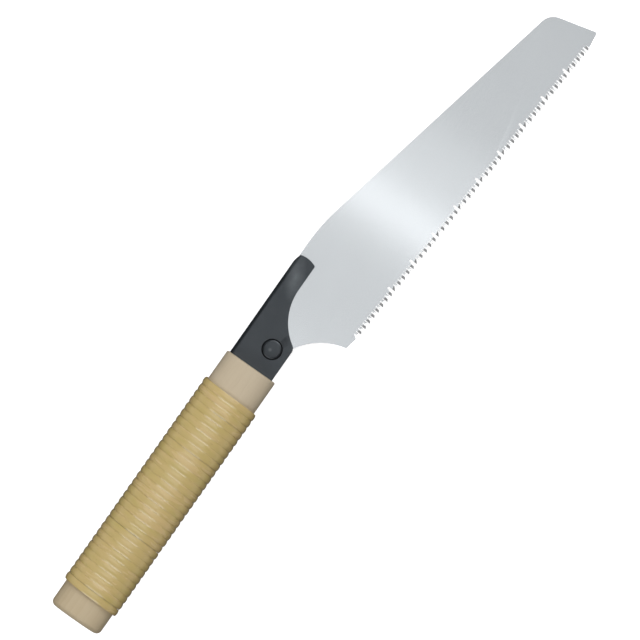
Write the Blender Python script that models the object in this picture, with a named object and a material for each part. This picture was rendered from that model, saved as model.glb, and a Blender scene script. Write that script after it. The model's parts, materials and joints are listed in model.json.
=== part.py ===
"""Kataba saw: a pull saw with one toothed edge. Its blade hooks on a rivet in a folded steel holder,
and the holder's tongues are pinned in a two-piece wooden handle bound with rattan.

Sizes are in millimetres. X runs from the butt of the handle to the tip of the blade, Y towards the
back of the blade, and Z is square to the blade, with Z = 0 in the blade's middle plane. The finished
saw lies on its side, with its origin under the middle of its box.
"""

from math import acos, asin, atan2, ceil, copysign, cos, pi, radians, sin, tan

import bmesh
import bpy
from mathutils import Vector

MM = 0.001
FULL_TURN = 2 * pi
ARC_ERROR = 0.02  # how far a facet may stray from its arc
CUT_MARGIN = 1.0  # how far a cutter reaches past what it cuts
SHARP_EDGE = radians(35)  # edges that turn more than this are shaded sharp

# Fits between pieces that touch
METAL_FIT = 0.2
WOOD_FIT = 0.25
GLUE_LINE = 0.2

# Wooden handle, an oval bar parted in the plane of the blade
HANDLE_LENGTH = 164.85
HANDLE_WIDTH = 31.1
HANDLE_THICKNESS = 23.5
HANDLE_FULLNESS = 2.3  # exponent of the oval, where 2 is an ellipse
HANDLE_FACETS = 48
BUTT_ROUND = 3.0
FRONT_ROUND = 0.8
ROUND_STEPS = 4

# Rattan strips, wound as one helix in two lengths
REAR_BARE_WOOD = 14.5
FRONT_BARE_WOOD = 19.5
STRIP_PITCH = 4.07
STRIP_HEIGHT = 1.5
STRIP_SECTION = ((-0.5, 0), (0.5, 0), (0.38, 0.7), (0, 1), (-0.38, 0.7))  # shares of width and height
STRIP_SPACE = 0.45
STRIP_LIFT = 0.3
REAR_STRIP_TURNS = 10
LOOP_POINTS = 24
SCARF_THINNEST = 0.35  # share of the strip's height left at its very end
REST_FLAT = 0.5  # depth of the flat that the winding lies on

# Folded holder
SHEET = 0.6
HOLDER_REACH = 64.65
HOLDER_BACK_INSET = 1.45
HOLDER_BELLY_INSET = 2.25
HOLDER_NECK_DEPTH = 11.2
HOLDER_NECK_START = 31.75
HOLDER_CHEEK_LENGTH = 20.6
NECK_SWEEP_RADIUS = 31.0
HOLDER_CORNER_RADIUS = 4.0
HOLDER_NOSE_RADIUS = 1.2
HOLDER_NOSE_LEAN = 1.2  # how far the lower corner of the nose stands behind its foremost point
HOLDER_NOSE_BULGE = 0.85
HOLDER_BULGE_RADIUS = 13.0
HOLDER_TAPER_START = 4.0  # where the back starts to fall towards the nose, behind the foremost point
HOLDER_TAPER_DROP = 1.5
HOLDER_TAPER_RADIUS = 19.0
HOLDER_TIP_LEAN = 0.5
TONGUE_LENGTH = 62.0
TONGUE_WIDTH = 16.0
SHOULDER_START = 5.0
SHOULDER_LENGTH = 7.0
SHOULDER_RADIUS = 3.0

# Rivet and cross pins
RIVET_AHEAD = 13.95
RIVET_EDGE_DISTANCE = 9.6
RIVET_SHANK = 6.0
RIVET_HEAD = 10.1
RIVET_RECESS = 11.5
RIVET_RECESS_DEPTH = 0.3
RIVET_HEAD_HEIGHT = 0.75
RIVET_HEAD_CROWN = 0.35
PIN_DIAMETER = 4.0
PIN_BELOW_SURFACE = 0.3
PIN_CHAMFER = 0.4
FRONT_PIN_BEHIND = 28.0
REAR_PIN_BEHIND = 52.0
TURNED_FACETS = 32

# Blade, measured from the rivet's axis
BLADE_THICKNESS = 0.8
BACK_FIT = 0.27
BACK_BEND = radians(12.3)
BACK_BEND_RADIUS = 111.0
FIRST_TOOTH_AHEAD = 30.3
FIRST_TOOTH_BELOW = 33.5
TOOTH_LINE = 200.0
TOOTH_LINE_DROP = radians(3.6)
PLAIN_TIP_LENGTH = 8.8
PLAIN_TIP_RISE = 1.05
TIP_RADIUS = 1.0
NOSE_HEIGHT = 27.2
NOSE_LEAN = radians(13.8)
NOSE_RADIUS = 9.0
PLAIN_HEEL_LENGTH = 7.1
PLAIN_HEEL_RISE = 1.4
HEEL_RADIUS = 1.0
HEEL_SWEEP_RADIUS = 36.5
HEEL_SWEEP_TOP = radians(33.4)
HEEL_SWEEP_FOOT = radians(77.4)
TAIL_INSET = 0.5
HOOK_HEIGHT = 4.5
HOOK_RADIUS = 1.0
BACK_CORNER_RADIUS = 2.0

# Teeth: places along the tooth line from the heel, and depths from that line into the blade
TOOTH_PITCH = 1.87
FIRST_TOOTH = 2.35
TOOTH_PROUD = 0.9  # how far a tip stands out past the tooth line
TOOTH_DEPTH = 2.55
TOOTH_ROOT = 1.5
TOOTH_TIP = 1.32
TIP_BEVEL_RISE = 0.95  # how far the oblique end of a tooth rises from its point
TOOTH_SET = 0.1
BEVEL_DEPTH = 1.75
BEVEL_WIDTH = 1.42
FIRST_SLOT = 16  # place of the first chip slot, counted in teeth
SLOT_EVERY = 10
SLOT_WIDTH = 1.3
SLOT_DEPTH = 3.95
SLOT_STEPS = 6
SLOT_TOOTH_PROUD = 0.6  # the tooth after a slot is shorter and slants all the way to its root
SLOT_TOOTH_RISE = 2.1
SLOT_TOOTH_BEVEL_DEPTH = 1.5
SLOT_TOOTH_BEVEL_INSET = 0.25

# Sizes that follow from the ones above
CHANNEL = BLADE_THICKNESS + 2 * METAL_FIT
HOLDER_HALF = CHANNEL / 2 + SHEET
HOLDER_BACK = HANDLE_WIDTH / 2 - HOLDER_BACK_INSET
HOLDER_BELLY = -HANDLE_WIDTH / 2 + HOLDER_BELLY_INSET
RIVET_X = HANDLE_LENGTH + RIVET_AHEAD
RIVET_Y = HOLDER_BELLY + RIVET_EDGE_DISTANCE
BLADE_BACK = HOLDER_BACK - SHEET - BACK_FIT - RIVET_Y
NOTCH_RADIUS = RIVET_SHANK / 2 + METAL_FIT
TAIL_RADIUS = RIVET_EDGE_DISTANCE - TAIL_INSET
PIN_PLACES = {
    "tang_pin_front": HANDLE_LENGTH - FRONT_PIN_BEHIND,
    "tang_pin_rear": HANDLE_LENGTH - REAR_PIN_BEHIND,
}


def arc(centre, radius, start, end):
    """Points of an arc, both ends included."""
    facet = 2 * acos(1 - min(ARC_ERROR / radius, 0.5))
    steps = max(2, ceil(abs(end - start) / facet))
    angles = [start + (end - start) * i / steps for i in range(steps + 1)]
    return [(centre[0] + radius * cos(a), centre[1] + radius * sin(a)) for a in angles]


def rounded(corners):
    """Outline through corners (x, y, radius), each turned into an arc that its edges have room for."""
    places = [Vector(corner[:2]) for corner in corners]
    count = len(corners)
    turns = []
    legs = []
    for i, corner in enumerate(corners):
        before = places[i] - places[i - 1]
        after = places[(i + 1) % count] - places[i]
        turns.append(-before.angle_signed(after))
        legs.append(corner[2] * tan(abs(turns[i]) / 2))
    for i in range(count):
        j = (i + 1) % count
        room = (places[j] - places[i]).length
        if legs[i] + legs[j] > room:
            shrink = room / (legs[i] + legs[j])
            legs[i] *= shrink
            legs[j] *= shrink
    points = []
    for i, place in enumerate(places):
        if legs[i] == 0:
            points.append(tuple(place))
            continue
        forward = (place - places[i - 1]).normalized()
        radius = legs[i] / tan(abs(turns[i]) / 2)
        inward = Vector((-forward.y, forward.x)) * copysign(1, turns[i])
        centre = place - forward * legs[i] + inward * radius
        start = atan2(-inward.y, -inward.x)
        points += arc(centre, radius, start, start + turns[i])
    return points


def loft(rings):
    """Closed body through rings of as many points each, in metres."""
    body = bmesh.new()
    made = [[body.verts.new(Vector(point) * MM) for point in ring] for ring in rings]
    for first, second in zip(made, made[1:]):
        for i in range(len(first)):
            j = (i + 1) % len(first)
            body.faces.new((first[i], first[j], second[j], second[i]))
    body.faces.new(reversed(made[0]))
    body.faces.new(made[-1])
    bmesh.ops.recalc_face_normals(body, faces=body.faces)
    return body


def prism(outline, bottom, top):
    return loft([[(x, y, z) for x, y in outline] for z in (bottom, top)])


def turned(profile, x, y):
    """Body turned about a Z axis at x, y, from profile points (radius, z)."""
    angles = [FULL_TURN * i / TURNED_FACETS for i in range(TURNED_FACETS)]
    rings = [[(x + r * cos(a), y + r * sin(a), z) for a in angles] for r, z in profile]
    return loft(rings)


def finish(name, colour, roughness, metallic):
    material = bpy.data.materials.new(name)
    material.use_nodes = True
    shader = material.node_tree.nodes["Principled BSDF"]
    shader.inputs["Base Color"].default_value = (*colour, 1)
    shader.inputs["Roughness"].default_value = roughness
    shader.inputs["Metallic"].default_value = metallic
    material.diffuse_color = (*colour, 1)
    return material


def add_object(name, body, parent):
    mesh = bpy.data.meshes.new(name)
    body.to_mesh(mesh)
    body.free()
    obj = bpy.data.objects.new(name, mesh)
    bpy.context.scene.collection.objects.link(obj)
    obj.parent = parent
    return obj


def add_piece(name, body, material, parent, smooth=False):
    piece = add_object(name, body, parent)
    piece.data.materials.append(material)
    if smooth:
        piece.data.shade_smooth()
        piece.data.set_sharp_from_angle(angle=SHARP_EDGE)
    return piece


def cut(piece, name, body, parent, operation="DIFFERENCE"):
    """Keeps a cutter as a hidden wire object, and takes it from the piece."""
    cutter = add_object(name, body, parent)
    cutter.hide_render = True
    cutter.display_type = "WIRE"
    modifier = piece.modifiers.new(name, "BOOLEAN")
    modifier.operation = operation
    modifier.solver = "EXACT"
    modifier.object = cutter


def add_empty(name, place, parent=None):
    empty = bpy.data.objects.new(name, None)
    empty.location = Vector(place) * MM
    empty.parent = parent
    bpy.context.scene.collection.objects.link(empty)
    return empty


def oval(half_width, half_thickness, angle):
    """Point (y, z) of the handle's section: angle 0 is the tooth side, a quarter turn the upper face."""
    power = 2 / HANDLE_FULLNESS
    across = copysign(abs(cos(angle)) ** power, cos(angle))
    up = copysign(abs(sin(angle)) ** power, sin(angle))
    return -half_width * across, half_thickness * up


def holder_outline(grow, back_grow):
    """Side view of the holder, with its sides moved out by grow and its back by back_grow."""
    front = HANDLE_LENGTH + HOLDER_REACH
    tongue_rear = HANDLE_LENGTH - TONGUE_LENGTH - grow
    tongue = TONGUE_WIDTH / 2 + grow
    shoulder_front = HANDLE_LENGTH - SHOULDER_START - grow
    shoulder_rear = shoulder_front - SHOULDER_LENGTH
    belly = HOLDER_BELLY - grow
    neck = HOLDER_BACK - HOLDER_NECK_DEPTH - grow
    back = HOLDER_BACK + back_grow
    return rounded(
        [
            (tongue_rear, -tongue, SHOULDER_RADIUS),
            (shoulder_rear, -tongue, SHOULDER_RADIUS),
            (shoulder_front, belly, SHOULDER_RADIUS),
            (HANDLE_LENGTH + HOLDER_CHEEK_LENGTH, belly, HOLDER_CORNER_RADIUS),
            (HANDLE_LENGTH + HOLDER_NECK_START, neck, NECK_SWEEP_RADIUS),
            (front - HOLDER_NOSE_LEAN, neck, HOLDER_NOSE_RADIUS),
            (front + HOLDER_NOSE_BULGE, (neck + back) / 2, HOLDER_BULGE_RADIUS),
            (front - HOLDER_TIP_LEAN, back - HOLDER_TAPER_DROP, 0),
            (front - HOLDER_TAPER_START, back, HOLDER_TAPER_RADIUS),
            (shoulder_front, back, SHOULDER_RADIUS),
            (shoulder_rear, tongue, SHOULDER_RADIUS),
            (tongue_rear, tongue, SHOULDER_RADIUS),
        ]
    )


def folded_channel():
    """Sheet folded double along the back, before its outline is cut."""
    fold = HOLDER_BACK - HOLDER_HALF
    open_side = HOLDER_BELLY - CUT_MARGIN
    outer = arc((fold, 0), HOLDER_HALF, -pi / 2, pi / 2)
    inner = arc((fold, 0), CHANNEL / 2, pi / 2, -pi / 2)
    section = [(open_side, -HOLDER_HALF), *outer, (open_side, HOLDER_HALF)]
    section += [(open_side, CHANNEL / 2), *inner, (open_side, -CHANNEL / 2)]
    rear = HANDLE_LENGTH - TONGUE_LENGTH - CUT_MARGIN
    front = HANDLE_LENGTH + HOLDER_REACH + CUT_MARGIN
    return loft([[(x, y, z) for y, z in section] for x in (rear, front)])


def build_holder(root):
    black = finish("black_paint", (0.035, 0.042, 0.05), 0.42, 0.2)
    holder = add_piece("blade_holder", folded_channel(), black, root)
    reach = HOLDER_HALF + CUT_MARGIN
    outline = prism(holder_outline(0, METAL_FIT), -reach, reach)
    cut(holder, "holder_outline", outline, root, "INTERSECT")
    rivet_hole = RIVET_SHANK / 2 + METAL_FIT
    drill = turned([(rivet_hole, -reach), (rivet_hole, reach)], RIVET_X, RIVET_Y)
    cut(holder, "holder_rivet_drill", drill, root)
    recess = [(RIVET_RECESS / 2, HOLDER_HALF - RIVET_RECESS_DEPTH), (RIVET_RECESS / 2, reach)]
    for name, side in (("upper", 1), ("lower", -1)):
        cutter = turned([(radius, side * z) for radius, z in recess], RIVET_X, RIVET_Y)
        cut(holder, f"holder_{name}_recess", cutter, root)
    for name, x in PIN_PLACES.items():
        radius = PIN_DIAMETER / 2 + METAL_FIT
        drill = turned([(radius, -reach), (radius, reach)], x, 0)
        cut(holder, f"holder_{name}_drill", drill, root)


def build_rivet(root):
    black = finish("rivet_paint", (0.035, 0.042, 0.05), 0.38, 0.2)
    seat = HOLDER_HALF - RIVET_RECESS_DEPTH + METAL_FIT
    rim = seat + RIVET_HEAD_HEIGHT - RIVET_HEAD_CROWN
    crown = [(RIVET_HEAD / 2 * cos(a), rim + RIVET_HEAD_CROWN * sin(a)) for a in (0, pi / 6, pi / 3)]
    upper = [(RIVET_SHANK / 2, seat), (RIVET_HEAD / 2, seat), *crown]
    lower = [(radius, -z) for radius, z in reversed(upper)]
    add_piece("hook_rivet", turned(lower + upper, RIVET_X, RIVET_Y), black, root, smooth=True)


def build_pins(root):
    steel = finish("pin_steel", (0.5, 0.5, 0.5), 0.35, 1)
    radius = PIN_DIAMETER / 2
    end = HANDLE_THICKNESS / 2 - PIN_BELOW_SURFACE
    upper = [(radius, end - PIN_CHAMFER), (radius - PIN_CHAMFER, end)]
    lower = [(r, -z) for r, z in reversed(upper)]
    for name, x in PIN_PLACES.items():
        add_piece(name, turned(lower + upper, x, 0), steel, root, smooth=True)


def half_section(inset, side):
    """Points (y, z) of one half of the handle's section, from the tooth side over to the back."""
    width = HANDLE_WIDTH / 2 - inset
    thickness = HANDLE_THICKNESS / 2 - inset
    start = asin((GLUE_LINE / 2 / thickness) ** (HANDLE_FULLNESS / 2))
    steps = HANDLE_FACETS // 2
    angles = [start + (pi - 2 * start) * i / steps for i in range(steps + 1)]
    return [(y, side * z) for y, z in (oval(width, thickness, a) for a in angles)]


def build_handle_half(name, side, root):
    wood = finish(name + "_wood", (0.55, 0.45, 0.33), 0.6, 0)
    turns = [pi / 2 * i / ROUND_STEPS for i in range(ROUND_STEPS + 1)]
    stations = [(BUTT_ROUND * (1 - sin(a)), BUTT_ROUND * (1 - cos(a))) for a in reversed(turns)]
    front = [(FRONT_ROUND * (1 - sin(a)), FRONT_ROUND * (1 - cos(a))) for a in turns]
    stations += [(HANDLE_LENGTH - back, inset) for back, inset in front]
    rings = [[(x, y, z) for y, z in half_section(inset, side)] for x, inset in stations]
    half = add_piece(name, loft(rings), wood, root, smooth=True)
    pocket = HOLDER_HALF + WOOD_FIT
    cut(half, name + "_pocket", prism(holder_outline(WOOD_FIT, WOOD_FIT), -pocket, pocket), root)
    for pin, x in PIN_PLACES.items():
        radius = PIN_DIAMETER / 2 + WOOD_FIT
        reach = HANDLE_THICKNESS / 2 + CUT_MARGIN
        cut(half, f"{name}_{pin}_drill", turned([(radius, -reach), (radius, reach)], x, 0), root)


def strip_rings(first_turn, last_turn, pitch):
    """Rings of a half-round strip from one turn of the winding to another, thinned at both ends."""
    width = pitch - STRIP_SPACE
    lowest = REST_FLAT - HANDLE_THICKNESS / 2 - STRIP_LIFT - STRIP_HEIGHT
    steps = round((last_turn - first_turn) * LOOP_POINTS)
    rings = []
    for i in range(steps + 1):
        turn = first_turn + i / LOOP_POINTS
        to_end = min(i, steps - i) / (LOOP_POINTS / 4)
        height = STRIP_HEIGHT * min(1, SCARF_THINNEST + (1 - SCARF_THINNEST) * to_end)
        middle = REAR_BARE_WOOD + width / 2 + pitch * (turn - 0.5)
        ring = []
        for across, up in STRIP_SECTION:
            rise = STRIP_LIFT + up * height
            angle = FULL_TURN * turn - pi / 2
            y, z = oval(HANDLE_WIDTH / 2 + rise, HANDLE_THICKNESS / 2 + rise, angle)
            ring.append((middle + across * width, y, max(z, lowest)))
        rings.append(ring)
    return rings


def least_gap(rings):
    """Smallest distance between the points of one loop and those of the next."""
    pairs = zip(rings, rings[LOOP_POINTS:])
    return min((Vector(a) - Vector(b)).length for near, far in pairs for a in near for b in far)


def build_rattan(root):
    length = HANDLE_LENGTH - REAR_BARE_WOOD - FRONT_BARE_WOOD
    turns = round(length / STRIP_PITCH)
    pitch = (length + STRIP_SPACE) / turns
    gap_at_join = 1 / LOOP_POINTS
    spans = {
        "rattan_strip_rear": (0, REAR_STRIP_TURNS),
        "rattan_strip_front": (REAR_STRIP_TURNS + gap_at_join, turns),
    }
    for name, (first, last) in spans.items():
        cane = finish(name + "_cane", (0.52, 0.4, 0.17), 0.4, 0)
        rings = strip_rings(first, last, pitch)
        add_piece(name, loft(rings), cane, root, smooth=True)
        print(f"{name}: least gap to itself {least_gap(rings):.2f} mm")


def tooth_points():
    """Outline points of the teeth, from heel to tip, as (upper, lower, is_tip).

    Upper and lower are (along, depth, outward) on the two faces of the blade. The ground facets face
    up on every other tooth and down on the rest.
    """
    gullet = TOOTH_PITCH - TOOTH_ROOT
    count = 1 + int((TOOTH_LINE - FIRST_TOOTH - TOOTH_ROOT / 2 - gullet) / TOOTH_PITCH)
    entries = []
    after_slot = False
    for i in range(count):
        middle = FIRST_TOOTH + i * TOOTH_PITCH
        if i >= FIRST_SLOT and (i - FIRST_SLOT) % SLOT_EVERY == 0:
            entries += [((s, d, 0), (s, d, 0), False) for s, d in slot_points(middle)]
            after_slot = True
            continue
        front = middle + TOOTH_ROOT / 2
        if after_slot:
            wall = middle - TOOTH_PITCH + SLOT_WIDTH / 2
            edge = [(wall, -SLOT_TOOTH_PROUD), (front, SLOT_TOOTH_RISE - SLOT_TOOTH_PROUD)]
            bevel = [(wall, SLOT_TOOTH_BEVEL_DEPTH), (front - SLOT_TOOTH_BEVEL_INSET, BEVEL_DEPTH)]
        else:
            tip = middle - TOOTH_TIP / 2
            edge = [(tip, -TOOTH_PROUD), (tip + TOOTH_TIP, TIP_BEVEL_RISE - TOOTH_PROUD)]
            bevel = [(middle - BEVEL_WIDTH / 2, BEVEL_DEPTH), (middle + BEVEL_WIDTH / 2, BEVEL_DEPTH)]
            root_rear = (middle - TOOTH_ROOT / 2, TOOTH_DEPTH, 0)
            entries.append((root_rear, root_rear, False))
        sharp = [(s, d, TOOTH_SET * (TOOTH_DEPTH - d) / (TOOTH_DEPTH + TOOTH_PROUD)) for s, d in edge]
        ground = [(s, d, 0) for s, d in bevel]
        faces = (ground, sharp) if i % 2 else (sharp, ground)
        root_front = (front, TOOTH_DEPTH, 0)
        entries += [(upper, lower, True) for upper, lower in zip(*faces)]
        entries.append((root_front, root_front, False))
        after_slot = False
    last = (front + gullet, 0, 0)
    return [*entries, (last, last, False)]


def slot_points(middle):
    """Chip slot between two teeth: straight walls and a round end, from heel to tip."""
    radius = SLOT_WIDTH / 2
    straight = SLOT_DEPTH - radius
    turns = [pi * i / SLOT_STEPS for i in range(SLOT_STEPS + 1)]
    ends = [(middle - radius * cos(a), straight + radius * sin(a)) for a in turns]
    return [(middle - radius, TOOTH_DEPTH), *ends, (middle + radius, TOOTH_DEPTH)]


def blade_corners():
    """Corners (x, y, radius) of the blade from its last tooth over the back to its first tooth."""
    first = Vector((FIRST_TOOTH_AHEAD, -FIRST_TOOTH_BELOW))
    last = first + TOOTH_LINE * Vector((cos(TOOTH_LINE_DROP), -sin(TOOTH_LINE_DROP)))
    tip = last + Vector((PLAIN_TIP_LENGTH, PLAIN_TIP_RISE))
    nose = tip + NOSE_HEIGHT * Vector((-sin(NOSE_LEAN), cos(NOSE_LEAN)))
    bend = nose.x - (BLADE_BACK - nose.y) / tan(BACK_BEND)
    notch = arc((0, 0), NOTCH_RADIUS, 0, -pi)
    tail_start = pi - asin(HOOK_HEIGHT / TAIL_RADIUS)
    tail = arc((0, 0), TAIL_RADIUS, tail_start, 1.5 * pi)
    heel = first + Vector((-PLAIN_HEEL_LENGTH, PLAIN_HEEL_RISE))
    leg = HEEL_SWEEP_RADIUS * tan((HEEL_SWEEP_FOOT - HEEL_SWEEP_TOP) / 2)
    sweep = heel + leg * Vector((-cos(HEEL_SWEEP_FOOT), sin(HEEL_SWEEP_FOOT)))
    sweep_start = sweep.x + (TAIL_RADIUS + sweep.y) / tan(HEEL_SWEEP_TOP)
    return [
        (*last, 0),
        (*tip, TIP_RADIUS),
        (*nose, NOSE_RADIUS),
        (bend, BLADE_BACK, BACK_BEND_RADIUS),
        (NOTCH_RADIUS, BLADE_BACK, BACK_CORNER_RADIUS),
        *[(x, y, 0) for x, y in notch],
        (-NOTCH_RADIUS, HOOK_HEIGHT, HOOK_RADIUS),
        *[(x, y, 0) for x, y in tail],
        (sweep_start, -TAIL_RADIUS, HEEL_RADIUS),
        (*sweep, HEEL_SWEEP_RADIUS),
        (*heel, HEEL_RADIUS),
        (*first, 0),
    ]


def blade_body():
    """Blade measured from the rivet's axis: a plate whose teeth are ground on alternate faces."""
    half = BLADE_THICKNESS / 2
    first = Vector((FIRST_TOOTH_AHEAD, -FIRST_TOOTH_BELOW))
    along = Vector((cos(TOOTH_LINE_DROP), -sin(TOOTH_LINE_DROP)))
    inward = Vector((-along.y, along.x))
    body = bmesh.new()
    upper = []
    lower = []
    tips = []
    for x, y in rounded(blade_corners()):
        upper.append(body.verts.new(Vector((x, y, half)) * MM))
        lower.append(body.verts.new(Vector((x, y, -half)) * MM))
        tips.append(False)
    for above, below, is_tip in tooth_points():
        for row, side, (s, depth, outward) in ((upper, 1, above), (lower, -1, below)):
            place = first + along * s + inward * depth
            row.append(body.verts.new(Vector((*place, side * (half + outward))) * MM))
        tips.append(is_tip)
    join_faces(body, upper, lower, tips)
    bmesh.ops.recalc_face_normals(body, faces=body.faces)
    return body


def join_faces(body, upper, lower, tips):
    """Faces of the blade. The walls of a tooth are creased where two of its ground facets meet."""
    count = len(tips)
    for i in range(count):
        j = (i + 1) % count
        wall = (lower[i], lower[j], upper[j], upper[i])
        if not tips[i] and not tips[j]:
            body.faces.new(wall)
            continue
        tip = i if tips[i] else j
        sharp_above = upper[tip].co.z + lower[tip].co.z > 0
        if sharp_above == (tips[j] and not tips[i]):
            body.faces.new((wall[0], wall[1], wall[2]))
            body.faces.new((wall[0], wall[2], wall[3]))
        else:
            body.faces.new((wall[0], wall[1], wall[3]))
            body.faces.new((wall[1], wall[2], wall[3]))
    roots = [i for i in range(count) if not tips[i]]
    body.faces.new([upper[i] for i in roots])
    body.faces.new([lower[i] for i in reversed(roots)])
    for i in range(count):
        if tips[i] and tips[i - 1]:
            tooth = (i - 2, i - 1, i, (i + 1) % count)
            body.faces.new([upper[k] for k in tooth])
            body.faces.new([lower[k] for k in reversed(tooth)])


def build_blade(root):
    steel = finish("blade_steel", (0.62, 0.63, 0.64), 0.3, 1)
    pivot = add_empty("blade_pivot", (RIVET_X, RIVET_Y, 0), root)
    add_piece("saw_blade", blade_body(), steel, pivot)


def stand_on_origin(root):
    """Moves the whole saw so that the origin lies under the middle of its box."""
    bpy.context.view_layer.update()
    graph = bpy.context.evaluated_depsgraph_get()
    corners = []
    for obj in root.children_recursive:
        if obj.type == "MESH" and not obj.hide_render:
            shape = obj.evaluated_get(graph)
            corners += [shape.matrix_world @ Vector(corner) for corner in shape.bound_box]
    low = [min(corner[axis] for corner in corners) for axis in range(3)]
    high = [max(corner[axis] for corner in corners) for axis in range(3)]
    root.location = (-(low[0] + high[0]) / 2, -(low[1] + high[1]) / 2, -low[2])


def main():
    for obj in list(bpy.data.objects):
        bpy.data.objects.remove(obj, do_unlink=True)
    root = add_empty("kataba_saw", (0, 0, 0))
    build_blade(root)
    build_holder(root)
    build_rivet(root)
    build_handle_half("handle_half_upper", 1, root)
    build_handle_half("handle_half_lower", -1, root)
    build_pins(root)
    build_rattan(root)
    stand_on_origin(root)


main()
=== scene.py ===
"""Looks of the kataba saw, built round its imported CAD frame.

Sizes are in millimetres in the row frame and become metres when a mesh is made. X runs along the
handle to the tip of the blade, Y towards the back of the blade, and Z up from the floor.
"""

import json
from math import copysign, cos, exp, hypot, pi, radians, sin

import bmesh
import bpy
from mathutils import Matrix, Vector, noise

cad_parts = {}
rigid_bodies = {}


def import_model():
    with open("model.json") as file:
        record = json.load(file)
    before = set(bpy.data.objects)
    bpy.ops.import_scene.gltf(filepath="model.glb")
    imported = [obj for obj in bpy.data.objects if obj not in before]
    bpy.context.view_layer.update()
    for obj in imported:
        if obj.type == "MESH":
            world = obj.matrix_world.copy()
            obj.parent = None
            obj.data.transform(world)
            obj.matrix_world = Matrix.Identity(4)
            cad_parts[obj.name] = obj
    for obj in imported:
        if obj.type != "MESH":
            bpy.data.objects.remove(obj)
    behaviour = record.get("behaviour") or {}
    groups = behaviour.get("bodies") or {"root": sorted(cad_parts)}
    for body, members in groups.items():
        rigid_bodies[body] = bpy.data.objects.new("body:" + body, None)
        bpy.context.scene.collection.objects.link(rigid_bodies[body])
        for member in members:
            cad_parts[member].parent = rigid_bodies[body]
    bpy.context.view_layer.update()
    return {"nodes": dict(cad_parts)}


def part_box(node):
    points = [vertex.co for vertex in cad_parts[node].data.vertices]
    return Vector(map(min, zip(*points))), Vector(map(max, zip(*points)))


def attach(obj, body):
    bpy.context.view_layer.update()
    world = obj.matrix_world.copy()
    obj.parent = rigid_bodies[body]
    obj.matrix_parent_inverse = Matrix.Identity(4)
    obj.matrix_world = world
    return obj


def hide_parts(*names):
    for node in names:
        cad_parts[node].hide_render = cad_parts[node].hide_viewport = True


MM = 0.001
METRE = 1000.0
FULL_TURN = 2 * pi
WELD = 1e-7  # metres: corners closer than this are one
FLAT = 0.001  # radians: faces that turn less than this are one
SMOOTH_BELOW = radians(38)
MIDDLE = (0.3, 0.7)  # range that most of a noise's values fall in
WIDE = (0.25, 0.75)  # a wider one, for smaller changes

# Photograph: its middle on the blade's plane, its width there and the way it is turned
PHOTO_CENTRE = (-2.22, 0.95)
PHOTO_WIDTH = 342.4
PHOTO_TURN = radians(-54.93)
CAMERA_DISTANCE = 4000.0
SENSOR = 36.0

# Wooden handle
WOOD_FULLNESS = 2.3  # exponent of the oval section, where 2 is an ellipse
WOOD_STEPS = 64  # points over one half's section
BUTT_ROUND = 3.0
FRONT_ROUND = 0.8
ROUND_STEPS = 8
TREE_HEART = (21.0, -34.0)  # middle of the year rings, across and up from the handle's axis

# Rattan winding
TURNS = 32
REAR_TURNS = 10
JOIN_GAP = 0.03  # turns between the two strips
LOOP_STEPS = 120
STRIP_LENGTH_PER_TURN = 92.0  # about once round the handle, for places along the cane
STRIP_SPACE = 0.45  # what the CAD strips leave between turns
STRIP_SEAT = 0.06  # bottom of the strip above the wood
STRIP_SEAM = 0.02  # gap between turns
STRIP_WANDER = 0.24  # how far a seam strays to either side
STRIP_CROWN = 0.92  # share of the CAD strip's height that most turns reach
STRIP_TILT = 0.05  # how far a turn leans to one side, as a share of its height
FACE_SHOULDER = 0.82  # share of the height at which the strip's sides turn over, on the flat faces
SIDE_SHOULDER = 0.66  # the same round the tight bends at the handle's sides, where the cane arches
STRIP_SECTION_STEPS = 14
FACE_FULLNESS = 2.3  # exponent of the strip's crown on the flat faces, where 2 is a parabola
SIDE_FULLNESS = 2.6
SIDE_BEND_POWER = 6  # how closely the arched form keeps to the sides
SCARF_TURN = 0.25  # length of the thinned end, in turns
SCARF_THINNEST = 0.35  # share of the height that is left at the very end
OPEN_SEAMS = (  # turn, gap added, length in turns: seams that have opened on the upper face
    (1.42, 0.2, 0.5),
    (4.62, 0.06, 0.3),
    (7.6, 0.05, 0.4),
    (9.3, 0.14, 0.14),
    (10.45, 0.2, 0.5),
    (11.3, 0.1, 0.12),
    (15.5, 0.05, 0.3),
    (18.4, 0.06, 0.4),
    (23.45, 0.13, 0.5),
    (24.3, 0.16, 0.14),
    (29.45, 0.16, 0.2),
    (29.74, 0.14, 0.08),
    (30.3, 0.08, 0.14),
)
RAISED_TURNS = (  # turn, height added as a share, length in turns
    (0.75, 0.08, 0.16),
    (31.78, 0.06, 0.14),
)

# Drifts along the winding: how fast each runs, per turn, and its seed, with the share that it changes
WANDER_DRIFT = (1.7, 3.1)
SLOW_WANDER_DRIFT = (0.45, 9.7)
SLOW_WANDER = 0.6
GAP_DRIFT = (2.3, 21.4)
GAP_CHANGE = 0.8
HEIGHT_DRIFT = (1.3, 40.2)
HEIGHT_CHANGE = 0.05
RIPPLE_DRIFT = (13.0, 71.5)
RIPPLE_CHANGE = 0.03
TILT_DRIFT = (0.9, 55.8)

# Rivet head
RIVET_STEPS = 96
RIVET_SHANK = 6.0
RIVET_HEAD_HEIGHT = 0.75
RIVET_RECESS = 11.5  # diameter of the recess in the holder
RECESS_MARGIN = 0.01
RIVET_RIM = 0.3  # rounding of the head's edge
RIVET_DOME = 0.25
RIVET_DOME_STEPS = 8

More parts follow.
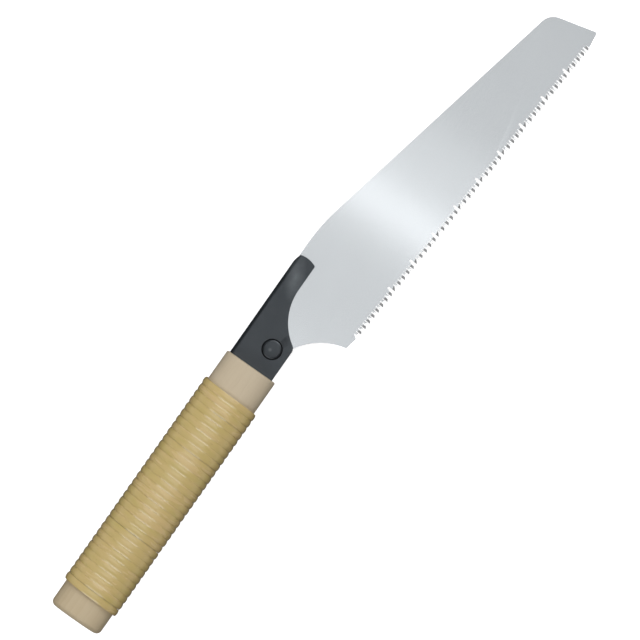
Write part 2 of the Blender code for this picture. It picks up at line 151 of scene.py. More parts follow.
# Folded holder
EDGE_BREAK = 0.22  # rounding of the edges
EDGE_SEGMENTS = 3
FOLD_DEPTH = 2.4  # how far from the back the faces start to fall off to the fold
FOLD_CUTS = 8
FOLD_WELD = 0.001  # cuts closer than this to a corner go through it
CHANNEL_HALF = 0.6  # half the width of the channel that the blade lies in
NECK_PAINTED_HIGHLIGHT = (12.5, 6.2)  # painted highlight on the neck, placed from the holder's front and back
NECK_HIGHLIGHT_REACH = (14.0, 5.6)  # half its length and half its width
NECK_HIGHLIGHT_TURN = radians(22)
RIVET_PAINTED_HIGHLIGHT = (-0.8, 0.8)  # a painted highlight on the rivet's head too, placed from its middle
RIVET_HIGHLIGHT_REACH = (1.3, 1.3)

# Blade
SIDE_STEEL, GROUND_FACET, PAINTED_HIGHLIGHT_FLAT = range(3)  # its materials, in order
BLADE_EDGE_BREAK = 0.07
BLADE_EDGE_SEGMENTS = 2
LEVEL = 0.999  # upright share of a normal above which a face is level
ON_EDGE = 0.01  # the share below which a face stands on edge
SET_FLAT = 0.99  # upright share of a normal above which a tooth face is a flat, not a ground facet
SET_LINE = 0.46  # share of a flat tooth's length, from its root, that stays level
STUB_ROOT = 0.62  # width of that level part at its root and at its end, as shares of the tooth's root
STUB_END = 0.44
TOOTH_ZONE = 5.2  # how deep the teeth and chip slots reach into the blade
TOOTH_LINE_MARGIN = 1.0  # how far the zone runs past the first and the last tooth

# Studio
FLOOR_SIZE = 8.0  # metres
FLOOR_DROP = 0.3  # how far the floor lies below the saw
FLOOR_GLOW = 0.8
LIGHTS = {  # place, size and aim in metres, and radiance
    "rear_panel": ((-0.01, 0.0, 2.0), (0.22, 0.8), (-0.01, 0.0, 0.0), 1.055),
    "front_panel": ((0.35, 0.0, 2.0), (0.5, 0.8), (0.35, 0.0, 0.0), 0.905),
    "handle_panel": ((-0.62, 0.0, 2.0), (1.0, 0.8), (-0.62, 0.0, 0.0), 0.04),
    "cane_light": ((-0.12, -0.25, 1.98), (0.1, 0.45), (-0.12, -0.25, 0.0), 2.5),
    "cane_fringe": ((-0.12, 0.4, 1.98), (0.1, 0.8), (-0.12, 0.4, 0.0), 1.7),
    "band_light": ((0.1025, 0.0, 1.985), (0.021, 0.8), (0.1025, 0.0, 0.0), 1.36),
    "band_fringe": ((0.146, 0.0, 1.99), (0.066, 0.8), (0.146, 0.0, 0.0), 0.3),
    "outer_fringe": ((0.239, 0.0, 1.99), (0.12, 0.8), (0.239, 0.0, 0.0), 0.06),
    "front_softbox": ((1.7, 0.0, 1.6), (1.5, 1.5), (0.0, 0.0, 0.0), 4.15),
    "rear_softbox": ((-1.7, 0.0, 1.6), (1.5, 1.5), (0.0, 0.0, 0.0), 2.62),
    "back_fill": ((-0.1, 1.7, 1.9), (2.4, 2.4), (-0.1, 0.0, 0.0), 0.95),
    "tooth_side_fill": ((-0.1, -1.7, 1.9), (2.4, 2.4), (-0.1, 0.0, 0.0), 0.2),
}
UNMIRRORED = ("back_fill", "tooth_side_fill")  # lights that no glossy surface shows
# Sky: height, as a sine, and radiance; steel mirrors the lighter band at low angles
SKY = (
    (0.0, 0.06),
    (0.02, 0.35),
    (0.35, 0.35),
    (0.5, 0.06),
)


for old in list(bpy.data.objects):
    bpy.data.objects.remove(old, do_unlink=True)
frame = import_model()


def box_mm(node):
    low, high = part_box(node)
    return low * METRE, high * METRE


WOOD_LOW, _ = box_mm("handle_half_lower")
_, WOOD_HIGH = box_mm("handle_half_upper")
BUTT = WOOD_LOW.x
FRONT = WOOD_HIGH.x
AXIS_Y = (WOOD_LOW.y + WOOD_HIGH.y) / 2
AXIS_Z = (WOOD_LOW.z + WOOD_HIGH.z) / 2
HALF_WIDTH = (WOOD_HIGH.y - WOOD_LOW.y) / 2
HALF_THICKNESS = (WOOD_HIGH.z - WOOD_LOW.z) / 2


class Finish:
    """A node material that grows from one Principled shader.

    Noise scales and relief are given in millimetres.
    """

    def __init__(self, name, **constants):
        self.material = bpy.data.materials.new(name)
        self.material.use_nodes = True
        self.tree = self.material.node_tree
        self.shader = self.tree.nodes["Principled BSDF"]
        self.places = self.tree.nodes.new("ShaderNodeTexCoord")
        for socket, value in constants.items():
            self.shader.inputs[socket.replace("_", " ")].default_value = value

    def node(self, kind, inputs=None, **settings):
        made = self.tree.nodes.new("ShaderNode" + kind)
        for key, value in settings.items():
            setattr(made, key, value)
        for key, value in (inputs or {}).items():
            self.feed(made.inputs[key], value)
        return made

    def feed(self, socket, value):
        if isinstance(value, bpy.types.NodeSocket):
            self.tree.links.new(value, socket)
        else:
            socket.default_value = value

    def stretched(self, x, y, z, output="Object"):
        """Coordinates multiplied by cycles per millimetre along each axis, or per UV unit."""
        unit = METRE if output == "Object" else 1
        scale = (x * unit, y * unit, z * unit)
        return self.node("Mapping", {"Vector": self.places.outputs[output], "Scale": scale}).outputs[0]

    def noise(self, vector, detail=3.0, roughness=0.5, distortion=0.0):
        inputs = {"Vector": vector, "Scale": 1.0, "Detail": detail, "Roughness": roughness}
        return self.node("TexNoise", {**inputs, "Distortion": distortion}).outputs["Fac"]

    def spread(self, value, low, high, to_low=0.0, to_high=1.0):
        """Value mapped from one range to another, and held inside it."""
        ends = {"From Min": low, "From Max": high, "To Min": to_low, "To Max": to_high}
        return self.node("MapRange", {"Value": value, **ends}).outputs[0]

    def math(self, operation, a, b=0.0):
        return self.node("Math", {0: a, 1: b}, operation=operation).outputs[0]

    def blend(self, factor, a, b, blend_type="MIX"):
        """Colour a turned into b by factor."""
        mix = self.node("Mix", data_type="RGBA", blend_type=blend_type)
        self.feed(mix.inputs["Factor"], factor)
        for key, value in (("A", a), ("B", b)):
            socket = next(s for s in mix.inputs if s.name == key and s.type == "RGBA")
            self.feed(socket, value if isinstance(value, bpy.types.NodeSocket) else (*value, 1))
        return next(s for s in mix.outputs if s.type == "RGBA")

    def bump(self, height, distance, strength=1.0):
        """Relief that is distance millimetres deep."""
        inputs = {"Height": height, "Distance": distance * MM, "Strength": strength}
        self.feed(self.shader.inputs["Normal"], self.node("Bump", inputs).outputs[0])

    def set(self, socket, value):
        self.feed(self.shader.inputs[socket], value)


def blade_finish():
    steel = Finish("brushed_steel", Metallic=1.0, Anisotropic=0.95)
    fine = steel.noise(steel.stretched(0.02, 5.0, 5.0), 5.0, 0.65)
    broad = steel.noise(steel.stretched(0.008, 0.5, 0.5), 3.0)
    cloud = steel.noise(steel.stretched(0.05, 0.05, 0.05), 2.0)
    streaks = steel.blend(steel.spread(fine, *MIDDLE), (0.545, 0.572, 0.594), (0.59, 0.617, 0.636))
    tone = steel.blend(steel.spread(broad, 0.35, 0.65, 0.0, 0.5), streaks, (0.572, 0.597, 0.616))
    clouded = steel.blend(steel.spread(cloud, *MIDDLE, 0.0, 0.35), tone, (0.548, 0.572, 0.59))
    steel.set("Base Color", clouded)
    steel.set("Roughness", steel.spread(fine, *WIDE, 0.125, 0.135))
    across = steel.node("Tangent", direction_type="UV_MAP", uv_map="UVMap").outputs[0]
    steel.set("Tangent", across)
    steel.bump(fine, 0.0004)
    return steel.material


def ground_finish():
    ground = Finish("ground_tooth_steel", Metallic=1.0)
    marks = ground.noise(ground.stretched(5.0, 0.6, 5.0), 4.0, 0.6)
    tone = ground.blend(ground.spread(marks, *MIDDLE), (0.76, 0.77, 0.78), (0.9, 0.91, 0.92))
    ground.set("Base Color", tone)
    ground.set("Roughness", ground.spread(marks, *WIDE, 0.44, 0.56))
    ground.bump(marks, 0.004)
    return ground.material


# Painted highlight: a near-white copy of the steel for the bent ends of the set teeth, standing in for
# their glare.
def tooth_highlight_finish():
    highlight_steel = Finish("tooth_steel_painted_highlight", Metallic=1.0)
    marks = highlight_steel.noise(highlight_steel.stretched(4.0, 0.6, 4.0), 4.0, 0.6)
    tone = highlight_steel.blend(highlight_steel.spread(marks, *MIDDLE), (0.9, 0.91, 0.92), (0.97, 0.98, 0.98))
    highlight_steel.set("Base Color", tone)
    highlight_steel.set("Roughness", highlight_steel.spread(marks, *WIDE, 0.16, 0.24))
    highlight_steel.bump(marks, 0.001)
    return highlight_steel.material


def paint_finish(name, highlight_place, reach, turn=0.0):
    """Satin black paint with a painted highlight round one place, given its half length, half width and
    turn.
    """
    paint = Finish(name, IOR=1.87, Specular_Tint=(0.84, 0.92, 1.0, 1.0))
    peel = paint.noise(paint.stretched(1.6, 1.6, 1.6), 2.0)
    cloud = paint.noise(paint.stretched(0.06, 0.06, 0.06), 3.0)
    grain = paint.noise(paint.stretched(9.0, 9.0, 9.0), 2.0)
    tone = paint.blend(paint.spread(cloud, *MIDDLE), (0.002, 0.003, 0.004), (0.005, 0.007, 0.009))
    grained = paint.blend(paint.spread(grain, 0.55, 0.75, 0.0, 0.4), tone, (0.012, 0.016, 0.02))
    patch = {
        "Vector": paint.places.outputs["Object"],
        "Location": (highlight_place[0] * MM, highlight_place[1] * MM, 0.0),
        "Rotation": (0.0, 0.0, turn),
        "Scale": (reach[0] * MM, reach[1] * MM, 1.0),
    }
    # Painted highlight: the paint is made lighter round one place, fading outwards with a ragged edge.
    beside = paint.node("Mapping", patch, vector_type="TEXTURE").outputs[0]
    distance = paint.node("VectorMath", {0: beside}, operation="LENGTH").outputs["Value"]
    ragged = paint.noise(paint.stretched(0.22, 0.22, 0.0), 3.0)
    faded = paint.spread(distance, 0.0, 1.0, 1.0, 0.0)
    painted_highlight = paint.math("MULTIPLY", faded, paint.spread(ragged, 0.3, 0.6, 0.6, 1.0))
    paint.set("Base Color", paint.blend(painted_highlight, grained, (0.09, 0.1, 0.105)))
    paint.set("Roughness", paint.spread(cloud, *MIDDLE, 0.32, 0.38))
    paint.bump(paint.blend(0.3, peel, grain), 0.008)
    return paint.material


# Painted shade: near-black, nearly matt steel for the recess round the rivet, standing in for the shade
# in that groove.
def recess_shade_finish():
    shade_layer = Finish("recess_painted_shade", Specular_IOR_Level=0.1)
    shade_mottle = shade_layer.noise(shade_layer.stretched(0.8, 0.8, 0.8), 3.0)
    tone = shade_layer.blend(shade_layer.spread(shade_mottle, *MIDDLE), (0.004, 0.005, 0.006), (0.009, 0.01, 0.012))
    shade_layer.set("Base Color", tone)
    shade_layer.set("Roughness", shade_layer.spread(shade_mottle, *MIDDLE, 0.6, 0.75))
    return shade_layer.material


def wood_finish():
    wood = Finish("pale_wood", IOR=1.45)
    to_heart = (0.0, -(AXIS_Y + TREE_HEART[0]) * MM, -(AXIS_Z + TREE_HEART[1]) * MM)
    moved = wood.node(
        "Mapping",
        {"Vector": wood.places.outputs["Object"], "Location": to_heart},
    ).outputs[0]
    rings = wood.node(
        "TexWave",
        {"Vector": moved, "Scale": 170.0, "Distortion": 5.0, "Detail": 3.0, "Detail Scale": 0.12},
        wave_type="RINGS",
        rings_direction="X",
        wave_profile="SAW",
    ).outputs["Fac"]
    fibre = wood.noise(wood.stretched(0.05, 3.2, 3.2), 4.0, 0.6)
    pores = wood.noise(wood.stretched(0.16, 5.5, 5.5), 2.0, 0.5)
    cloud = wood.noise(wood.stretched(0.03, 0.12, 0.12), 2.0)
    grain = wood.blend(wood.spread(rings, 0.0, 1.0, 0.0, 0.6), (0.57, 0.465, 0.305), (0.505, 0.4, 0.25))
    fibred = wood.blend(wood.spread(fibre, *MIDDLE, 0.0, 0.55), grain, (0.53, 0.425, 0.27))
    mottled = wood.blend(wood.spread(cloud, 0.35, 0.7, 0.0, 0.5), fibred, (0.58, 0.48, 0.325))
    along = wood.node("SeparateXYZ", {"Vector": wood.places.outputs["Object"]}).outputs["X"]
    to_front = wood.spread(along, BUTT * MM, FRONT * MM, 0.0, 0.5)
    paler = wood.blend(to_front, mottled, (0.62, 0.54, 0.425))
    pored = wood.blend(wood.spread(pores, 0.62, 0.74, 0.0, 0.5), paler, (0.43, 0.33, 0.21))
    wood.set("Base Color", pored)
    wood.set("Roughness", wood.spread(fibre, 0.2, 0.8, 0.52, 0.66))
    wood.bump(fibre, 0.05)
    return wood.material


def rattan_finish():
    """Split cane: U runs along the strip in millimetres and V across it from edge to edge."""
    cane = Finish("split_rattan", IOR=1.2, Coat_Weight=1.0, Coat_IOR=1.8)
    fibre = cane.noise(cane.stretched(0.04, 13.0, 1.0, "UV"), 4.0, 0.6)
    tint = cane.noise(cane.stretched(0.05, 0.7, 1.0, "UV"), 2.0, 0.6)
    specks = cane.noise(cane.stretched(0.35, 5.0, 1.0, "UV"), 1.0)
    seam_patches = cane.noise(cane.stretched(0.03, 0.3, 1.0, "UV"), 2.0)
    across = cane.node("SeparateXYZ", {"Vector": cane.places.outputs["UV"]}).outputs["Y"]
    from_middle = cane.math("ABSOLUTE", cane.math("SUBTRACT", across, 0.5))
    edge = cane.spread(from_middle, 0.42, 0.5)
    base = cane.blend(cane.spread(tint, *MIDDLE), (0.545, 0.433, 0.149), (0.66, 0.48, 0.228))
    fibred = cane.blend(cane.spread(fibre, 0.3, 0.72, 0.0, 0.6), base, (0.6, 0.455, 0.177))
    flecked = cane.blend(cane.spread(specks, 0.68, 0.78, 0.0, 0.55), fibred, (0.38, 0.27, 0.1))
    # Darker towards the strip's edges, in patches: painted shade in the seams, together with brown
    # stain there.
    seam_shade_and_stain = cane.math("MULTIPLY", edge, cane.spread(seam_patches, 0.5, 0.68, 0.0, 0.8))
    cane.set("Base Color", cane.blend(seam_shade_and_stain, flecked, (0.36, 0.225, 0.075)))
    cane.set("Roughness", cane.spread(fibre, *WIDE, 0.28, 0.4))
    cane.set("Coat Roughness", cane.spread(tint, 0.35, 0.65, 0.19, 0.3))
    cane.bump(fibre, 0.02)
    return cane.material


def pin_finish():
    steel = Finish("drawn_pin_steel", Metallic=1.0)
    drawn = steel.noise(steel.stretched(3.0, 3.0, 0.1), 3.0)
    tone = steel.blend(steel.spread(drawn, *MIDDLE), (0.42, 0.42, 0.42), (0.56, 0.56, 0.56))
    steel.set("Base Color", tone)
    steel.set("Roughness", steel.spread(drawn, *MIDDLE, 0.3, 0.42))
    return steel.material


def solid_of(node):
    """The node's solid, in millimetres, with its corners joined and its flat faces whole."""
    body = bmesh.new()
    body.from_mesh(frame["nodes"][node].data)
    bmesh.ops.remove_doubles(body, verts=body.verts, dist=WELD)
    bmesh.ops.dissolve_limit(body, angle_limit=FLAT, verts=body.verts, edges=body.edges)
    bmesh.ops.scale(body, vec=(METRE,) * 3, verts=body.verts)
    return body


def loft(rings, closed_ends=True):
    """Body through rings of as many points each."""
    body = bmesh.new()
    made = [[body.verts.new(point) for point in ring] for ring in rings]
    for first, second in zip(made, made[1:]):
        for i in range(len(first)):
            j = (i + 1) % len(first)
            body.faces.new((first[i], first[j], second[j], second[i]))
    if closed_ends:
        body.faces.new(reversed(made[0]))
        body.faces.new(made[-1])
    bmesh.ops.recalc_face_normals(body, faces=body.faces)
    return body


def lay_out(body, place):
    """Gives the body a UV map from a function of the vertex."""
    body.verts.index_update()
    layer = body.loops.layers.uv.new("UVMap")
    for face in body.faces:
        for loop in face.loops:
            loop[layer].uv = place(loop.vert)


def mesh_object(name, body, materials=()):
    bmesh.ops.scale(body, vec=(MM,) * 3, verts=body.verts)
    mesh = bpy.data.meshes.new(name)
    body.to_mesh(mesh)
    body.free()
    for material in materials:
        mesh.materials.append(material)
    made = bpy.data.objects.new(name, mesh)
    bpy.context.scene.collection.objects.link(made)
    return made


def dress(piece, body, slot, *nodes):
    """Puts a piece on its CAD body, in place of the nodes it stands for."""
    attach(piece, body)
    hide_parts(*nodes)
    return piece


def smooth(piece):
    piece.data.shade_smooth()
    piece.data.set_sharp_from_angle(angle=SMOOTH_BELOW)


def oval(half_width, half_thickness, angle):
    """Point (y, z) of the handle's section, at an angle from the tooth side up over the handle."""
    power = 2 / WOOD_FULLNESS
    across = copysign(abs(cos(angle)) ** power, cos(angle))
    up = copysign(abs(sin(angle)) ** power, sin(angle))
    return AXIS_Y - half_width * across, AXIS_Z + half_thickness * up


def level_root(body, tooth, line_start, inward):
    """Splits the flat face of a set tooth: its root stays level and only its end is bent out, in the
    near-white steel of a painted highlight.
    """
    corners = sorted(tooth.verts, key=lambda v: -(v.co.xy - line_start.xy).dot(inward))
    roots = sorted(corners[:2], key=lambda v: v.co.x)
    ends = sorted(corners[2:], key=lambda v: v.co.x)
    up = copysign(1.0, tooth.normal.z)
    middle = sum((v.co for v in roots), Vector()) / 2
    reach = sum((v.co for v in ends), Vector()) / 2 - middle
    across = (roots[1].co - roots[0].co) / 2
    line = middle + SET_LINE * reach
    inner = [body.verts.new((*(line + side * STUB_END * across).xy, middle.z)) for side in (-1, 1)]
    root_edge = next(e for e in roots[0].link_edges if e.other_vert(roots[0]) is roots[1])
    inset = (1 - STUB_ROOT) / 2
    _, stub_rear = bmesh.utils.edge_split(root_edge, roots[0], inset)
    rest = next(e for e in stub_rear.link_edges if e.other_vert(stub_rear) is roots[1])
    _, stub_front = bmesh.utils.edge_split(rest, roots[1], inset / (1 - inset))
    body.faces.remove(tooth)
    bent = [
        (roots[0], ends[0], inner[0], stub_rear),
        (inner[0], ends[0], ends[1], inner[1]),
        (stub_front, inner[1], ends[1], roots[1]),
    ]
    stub = (stub_rear, inner[0], inner[1], stub_front)
    for verts, material in [(verts, PAINTED_HIGHLIGHT_FLAT) for verts in bent] + [(stub, SIDE_STEEL)]:
        face = body.faces.new(verts)
        face.material_index = material
        face.normal_update()
        if face.normal.z * up < 0:
            face.normal_flip()


def build_blade(steel, ground, highlight_steel):
    body = solid_of("saw_blade")
    body.normal_update()
    slanted = [f for f in body.faces if ON_EDGE < abs(f.normal.z) < LEVEL]
    teeth = [v.co.copy() for f in slanted for v in f.verts]
    heel_end = min(teeth, key=lambda p: p.x)
    tip_end = max(teeth, key=lambda p: p.x)
    along = (tip_end - heel_end).xy.normalized()
    inward = Vector((-along.y, along.x))
    tooth_line = (tip_end - heel_end).xy.dot(along)

    def in_tooth_zone(point):
        place = point.xy - heel_end.xy
        beside = -TOOTH_LINE_MARGIN < place.dot(along) < tooth_line + TOOTH_LINE_MARGIN
        return beside and place.dot(inward) < TOOTH_ZONE

    def is_rim(edge):
        """Whether an edge is a sharp one of a level face, clear of the teeth."""
        clear = not any(in_tooth_zone(v.co) for v in edge.verts)
        level = any(abs(f.normal.z) > LEVEL for f in edge.link_faces)
        return clear and level and edge.calc_face_angle(0) > SMOOTH_BELOW

    for face in body.faces:
        if not all(in_tooth_zone(v.co) for v in face.verts):
            face.material_index = SIDE_STEEL
        elif abs(face.normal.z) > SET_FLAT:
            face.material_index = PAINTED_HIGHLIGHT_FLAT
        else:
            face.material_index = GROUND_FACET
    for tooth in [f for f in body.faces if f.material_index == PAINTED_HIGHLIGHT_FLAT and len(f.verts) == 4]:
        level_root(body, tooth, heel_end, inward)
    bmesh.ops.bevel(
        body,
        geom=[e for e in body.edges if is_rim(e)],
        offset=BLADE_EDGE_BREAK,
        segments=BLADE_EDGE_SEGMENTS,
        profile=0.5,
        affect="EDGES",
    )
    lay_out(body, lambda vert: (vert.co.y, vert.co.x))
    piece = mesh_object("brushed_blade", body, (steel, ground, highlight_steel))
    return dress(piece, "blade", "blade_steel", "saw_blade")


def soften_fold(body, high):
    """Eases the holder's outer faces into an elliptic fold along the back."""
    half = high.z - AXIS_Z
    centre = high.y - half
    start = high.y - FOLD_DEPTH
    for i in range(FOLD_CUTS):
        bmesh.ops.bisect_plane(
            body,
            geom=[*body.verts, *body.edges, *body.faces],
            dist=FOLD_WELD,
            plane_co=(0.0, start + (centre - start) * i / FOLD_CUTS, 0.0),
            plane_no=(0.0, 1.0, 0.0),
        )
    for vert in body.verts:
        rise = vert.co.z - AXIS_Z
        share = (vert.co.y - start) / FOLD_DEPTH
        if share > 0 and hypot(max(0.0, vert.co.y - centre), rise) > (half + CHANNEL_HALF) / 2:
            vert.co.z = AXIS_Z + copysign(half * max(0.0, 1 - share * share) ** 0.5, rise)


def build_holder(dark):
    """Folded holder with its edges broken; the recess round the rivet gets a near-black painted shade.
    """
    body = solid_of("blade_holder")
    rivet_low, rivet_high = box_mm("hook_rivet")
    axis = ((rivet_low + rivet_high) / 2).xy
    _, high = box_mm("blade_holder")
    highlight_place = (high.x - NECK_PAINTED_HIGHLIGHT[0], high.y - NECK_PAINTED_HIGHLIGHT[1])
    paint = paint_finish("satin_black_paint", highlight_place, NECK_HIGHLIGHT_REACH, NECK_HIGHLIGHT_TURN)
    soften_fold(body, high)
    reach = RIVET_RECESS / 2 + RECESS_MARGIN
    for face in body.faces:
        in_recess = all((v.co.xy - axis).length < reach for v in face.verts)
        face.material_index = 1 if in_recess else 0
    piece = mesh_object("folded_holder", body, (paint, dark))
    rounding = piece.modifiers.new("edge_break", "BEVEL")
    rounding.width = EDGE_BREAK * MM
    rounding.segments = EDGE_SEGMENTS
    rounding.limit_method = "ANGLE"
    rounding.angle_limit = SMOOTH_BELOW
    rounding.harden_normals = True
    smooth(piece)
    return dress(piece, "handle", "black_paint", "blade_holder")


def build_rivet():
    """Turned rivet with two low domed heads."""
    low, high = box_mm("hook_rivet")
    centre = (low + high) / 2
    radius = (high.x - low.x) / 2
    top = (high.z - low.z) / 2
    seat = top - RIVET_HEAD_HEIGHT
    rim = top - RIVET_DOME
    flat = radius - RIVET_RIM
    turns = [pi / 2 * i / RIVET_DOME_STEPS for i in range(RIVET_DOME_STEPS + 1)]
    upper = [(RIVET_SHANK / 2, seat), (radius, seat)]
    upper += [(flat + RIVET_RIM * cos(a), rim - RIVET_RIM * (1 - sin(a))) for a in turns]
    upper += [(flat * cos(a), rim + RIVET_DOME * sin(a)) for a in turns[1:-1]]
    lower = [(r, -z) for r, z in reversed(upper)]
    angles = [FULL_TURN * i / RIVET_STEPS for i in range(RIVET_STEPS)]
    rings = [
        [(centre.x + r * cos(a), centre.y + r * sin(a), centre.z + z) for a in angles]
        for r, z in lower + upper
    ]
    # Painted highlight on the head, off its middle.
    highlight_place = (centre.x + RIVET_PAINTED_HIGHLIGHT[0], centre.y + RIVET_PAINTED_HIGHLIGHT[1])
    paint = paint_finish("rivet_black_paint", highlight_place, RIVET_HIGHLIGHT_REACH)
    piece = mesh_object("turned_rivet", loft(rings), (paint,))
    smooth(piece)
    return dress(piece, "handle", "black_paint", "hook_rivet")


def half_section(inset, side, glue):
    """Points of one half of the handle's section, from the tooth side over to the back."""
    width = HALF_WIDTH - inset
    thickness = HALF_THICKNESS - inset
    points = []
    for i in range(WOOD_STEPS + 1):
        y, z = oval(width, thickness, pi * i / WOOD_STEPS)
        points.append((y, AXIS_Z + side * max(z - AXIS_Z, glue)))
    return points


def handle_stations():
    """Places along the handle and how far the section is drawn in at each."""
    turns = [pi / 2 * i / ROUND_STEPS for i in range(ROUND_STEPS + 1)]
    stations = [(BUTT + BUTT_ROUND * (1 - sin(a)), BUTT_ROUND * (1 - cos(a))) for a in reversed(turns)]
    stations += [(FRONT - FRONT_ROUND * (1 - sin(a)), FRONT_ROUND * (1 - cos(a))) for a in turns]
    return stations


def build_handle_half(node, side, wood):
    low, high = box_mm(node)
    glue = (low.z - AXIS_Z) if side > 0 else (AXIS_Z - high.z)
    rings = [[(x, y, z) for y, z in half_section(inset, side, glue)] for x, inset in handle_stations()]
    piece = mesh_object(node + "_wood", loft(rings), (wood,))
    smooth(piece)
    return dress(piece, "handle", "handle_wood", node)


def near(turn, place, length):
    """A soft hump of height 1 round a place on the winding."""
    return exp(-(((turn - place) / (length / 2)) ** 2))


def drift(turn, pace, seed):
    """Smooth noise along the winding, between -1 and 1."""
    return noise.noise(Vector((turn * pace, seed, 0.0)))


def humps(turn, places):
    """What the listed places add to this turn, each as a soft hump."""
    return sum(added * near(turn, place, length) for place, added, length in places)


def seam(turn):
    """Place across and gap of the seam behind the strip at this turn, in millimetres."""
    wander = drift(turn, *WANDER_DRIFT) + SLOW_WANDER * drift(turn, *SLOW_WANDER_DRIFT)
    gap = STRIP_SEAM * (1 + GAP_CHANGE * drift(turn, *GAP_DRIFT))
    return STRIP_WANDER * wander, gap + humps(turn, OPEN_SEAMS)


def strip_height(turn):
    """Share of the CAD strip's height that the strip reaches at this turn."""
    height = STRIP_CROWN + HEIGHT_CHANGE * drift(turn, *HEIGHT_DRIFT)
    height += RIPPLE_CHANGE * drift(turn, *RIPPLE_DRIFT)
    return min(1.0, height + humps(turn, RAISED_TURNS))


def cane_section(angle, height, tilt):
    """Outline of the strip's section: place across it, from 0 to 1, and height above the wood."""
    bend = cos(angle) ** SIDE_BEND_POWER
    shoulder = FACE_SHOULDER + (SIDE_SHOULDER - FACE_SHOULDER) * bend
    fullness = FACE_FULLNESS + (SIDE_FULLNESS - FACE_FULLNESS) * bend
    outline = [(1.0, STRIP_SEAT), (0.0, STRIP_SEAT)]
    for k in range(STRIP_SECTION_STEPS + 1):
        share = -cos(pi * k / STRIP_SECTION_STEPS)
        crown = 1 - abs(share) ** fullness
        level = min(1.0, (shoulder + (1 - shoulder) * crown) * (1 + tilt * share))
        outline.append(((share + 1) / 2, STRIP_SEAT + (height - STRIP_SEAT) * level))
    return outline


def build_strip(node, first, last, pitch, full_height, cane):
    """Strip of split cane, low and rounded, wound from one turn to another and thinned at both ends."""
    start = box_mm("rattan_strip_rear")[0].x
    lowest = box_mm(node)[0].z
    count = round((last - first) * LOOP_STEPS)
    rings = []
    places = []
    along = first * STRIP_LENGTH_PER_TURN
    for i in range(count + 1):
        turn = first + i / LOOP_STEPS
        angle = FULL_TURN * turn - pi / 2
        middle = start + pitch * (turn + 0.5)
        rear_shift, rear_gap = seam(turn)
        front_shift, front_gap = seam(turn + 1)
        rear = middle - pitch / 2 + rear_shift + rear_gap / 2
        front = middle + pitch / 2 + front_shift - front_gap / 2
        to_end = min(i, count - i) / (SCARF_TURN * LOOP_STEPS)
        scarf = min(1, SCARF_THINNEST + (1 - SCARF_THINNEST) * to_end)
        height = full_height * strip_height(turn) * scarf
        along += STRIP_LENGTH_PER_TURN / LOOP_STEPS
        ring = []
        for across, rise in cane_section(angle, height, STRIP_TILT * drift(turn, *TILT_DRIFT)):
            y, z = oval(HALF_WIDTH + rise, HALF_THICKNESS + rise, angle)
            ring.append((rear + (front - rear) * across, y, max(z, lowest)))
            places.append((along, across))
        rings.append(ring)
    body = loft(rings)
    lay_out(body, lambda vert: places[vert.index])
    piece = mesh_object(node + "_cane", body, (cane,))
    smooth(piece)
    return dress(piece, "handle", "rattan", node)


def build_rattan(cane):
    rear_low, _ = box_mm("rattan_strip_rear")
    _, front_high = box_mm("rattan_strip_front")
    pitch = (front_high.x - rear_low.x + STRIP_SPACE) / (TURNS + 1)
    full_height = front_high.z - AXIS_Z - HALF_THICKNESS
    build_strip("rattan_strip_rear", 0, REAR_TURNS, pitch, full_height, cane)
    build_strip("rattan_strip_front", REAR_TURNS + JOIN_GAP, TURNS, pitch, full_height, cane)


def build_floor():
    half = FLOOR_SIZE / 2 * METRE
    body = bmesh.new()
    corners = [(-half, -half), (half, -half), (half, half), (-half, half)]
    body.faces.new([body.verts.new((x, y, -FLOOR_DROP)) for x, y in corners])
    glow = {"Emission_Color": (1, 1, 1, 1), "Emission_Strength": FLOOR_GLOW}
    paper = Finish("studio_paper", Roughness=0.9, **glow)
    mottle = paper.noise(paper.stretched(0.01, 0.01, 0.01), 2.0)
    tone = paper.blend(paper.spread(mottle, *MIDDLE), (0.86, 0.86, 0.86), (0.88, 0.88, 0.88))
    paper.set("Base Color", tone)
    ground = mesh_object("studio_floor", body, (paper.material,))
    ground.visible_diffuse = False
    ground.visible_glossy = False


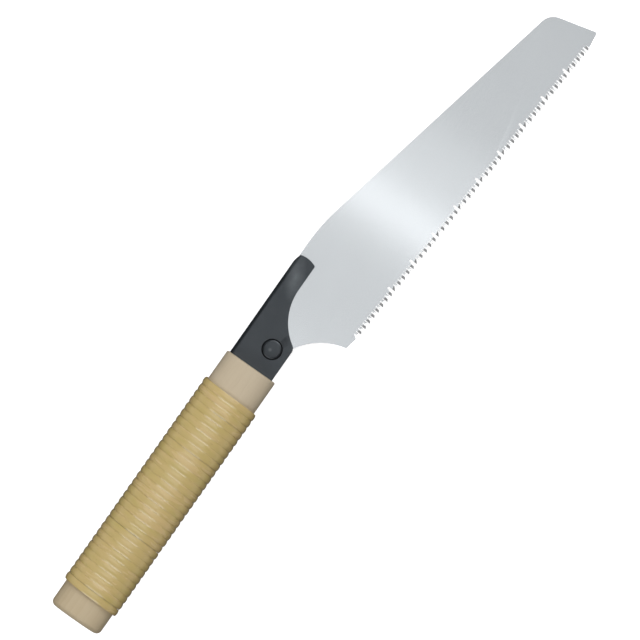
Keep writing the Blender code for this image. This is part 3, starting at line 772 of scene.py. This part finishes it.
def build_lights():
    for name, (place, size, aim, radiance) in LIGHTS.items():
        light = bpy.data.lights.new(name, "AREA")
        light.shape = "RECTANGLE"
        light.size, light.size_y = size
        light.energy = radiance * pi * size[0] * size[1]
        lamp = bpy.data.objects.new(name, light)
        lamp.location = place
        lamp.rotation_euler = (Vector(aim) - Vector(place)).to_track_quat("-Z", "Y").to_euler()
        lamp.visible_camera = False
        lamp.visible_glossy = name not in UNMIRRORED
        bpy.context.scene.collection.objects.link(lamp)


def build_world():
    world = bpy.data.worlds.new("studio")
    world.use_nodes = True
    tree = world.node_tree
    places = tree.nodes.new("ShaderNodeTexCoord")
    parts = tree.nodes.new("ShaderNodeSeparateXYZ")
    sky = tree.nodes.new("ShaderNodeValToRGB")
    stops = sky.color_ramp.elements
    while len(stops) < len(SKY):
        stops.new(1.0)
    for stop, (height, radiance) in zip(stops, SKY):
        stop.position = height
        stop.color = (radiance, radiance, radiance, 1.0)
    tree.links.new(places.outputs["Generated"], parts.inputs["Vector"])
    tree.links.new(parts.outputs["Z"], sky.inputs["Fac"])
    tree.links.new(sky.outputs["Color"], tree.nodes["Background"].inputs["Color"])
    bpy.context.scene.world = world


def build_camera():
    data = bpy.data.cameras.new("photo_camera")
    data.lens = SENSOR * CAMERA_DISTANCE / PHOTO_WIDTH
    data.sensor_width = SENSOR
    camera = bpy.data.objects.new("photo_camera", data)
    blade_low, blade_high = box_mm("saw_blade")
    blade_plane = (blade_low.z + blade_high.z) / 2
    camera.location = Vector((*PHOTO_CENTRE, blade_plane + CAMERA_DISTANCE)) * MM
    data.clip_end = 2 * CAMERA_DISTANCE * MM
    camera.rotation_euler = (0.0, 0.0, PHOTO_TURN)
    bpy.context.scene.collection.objects.link(camera)
    bpy.context.scene.camera = camera


wood = wood_finish()
build_blade(blade_finish(), ground_finish(), tooth_highlight_finish())
build_holder(recess_shade_finish())
build_rivet()
build_handle_half("handle_half_upper", 1, wood)
build_handle_half("handle_half_lower", -1, wood)
build_rattan(rattan_finish())
pin_steel = pin_finish()
for pin in ("tang_pin_front", "tang_pin_rear"):
    node = frame["nodes"][pin]
    node.data.materials.clear()
    node.data.materials.append(pin_steel)
build_floor()
build_lights()
build_world()
build_camera()
bpy.context.scene.view_settings.view_transform = "Standard"
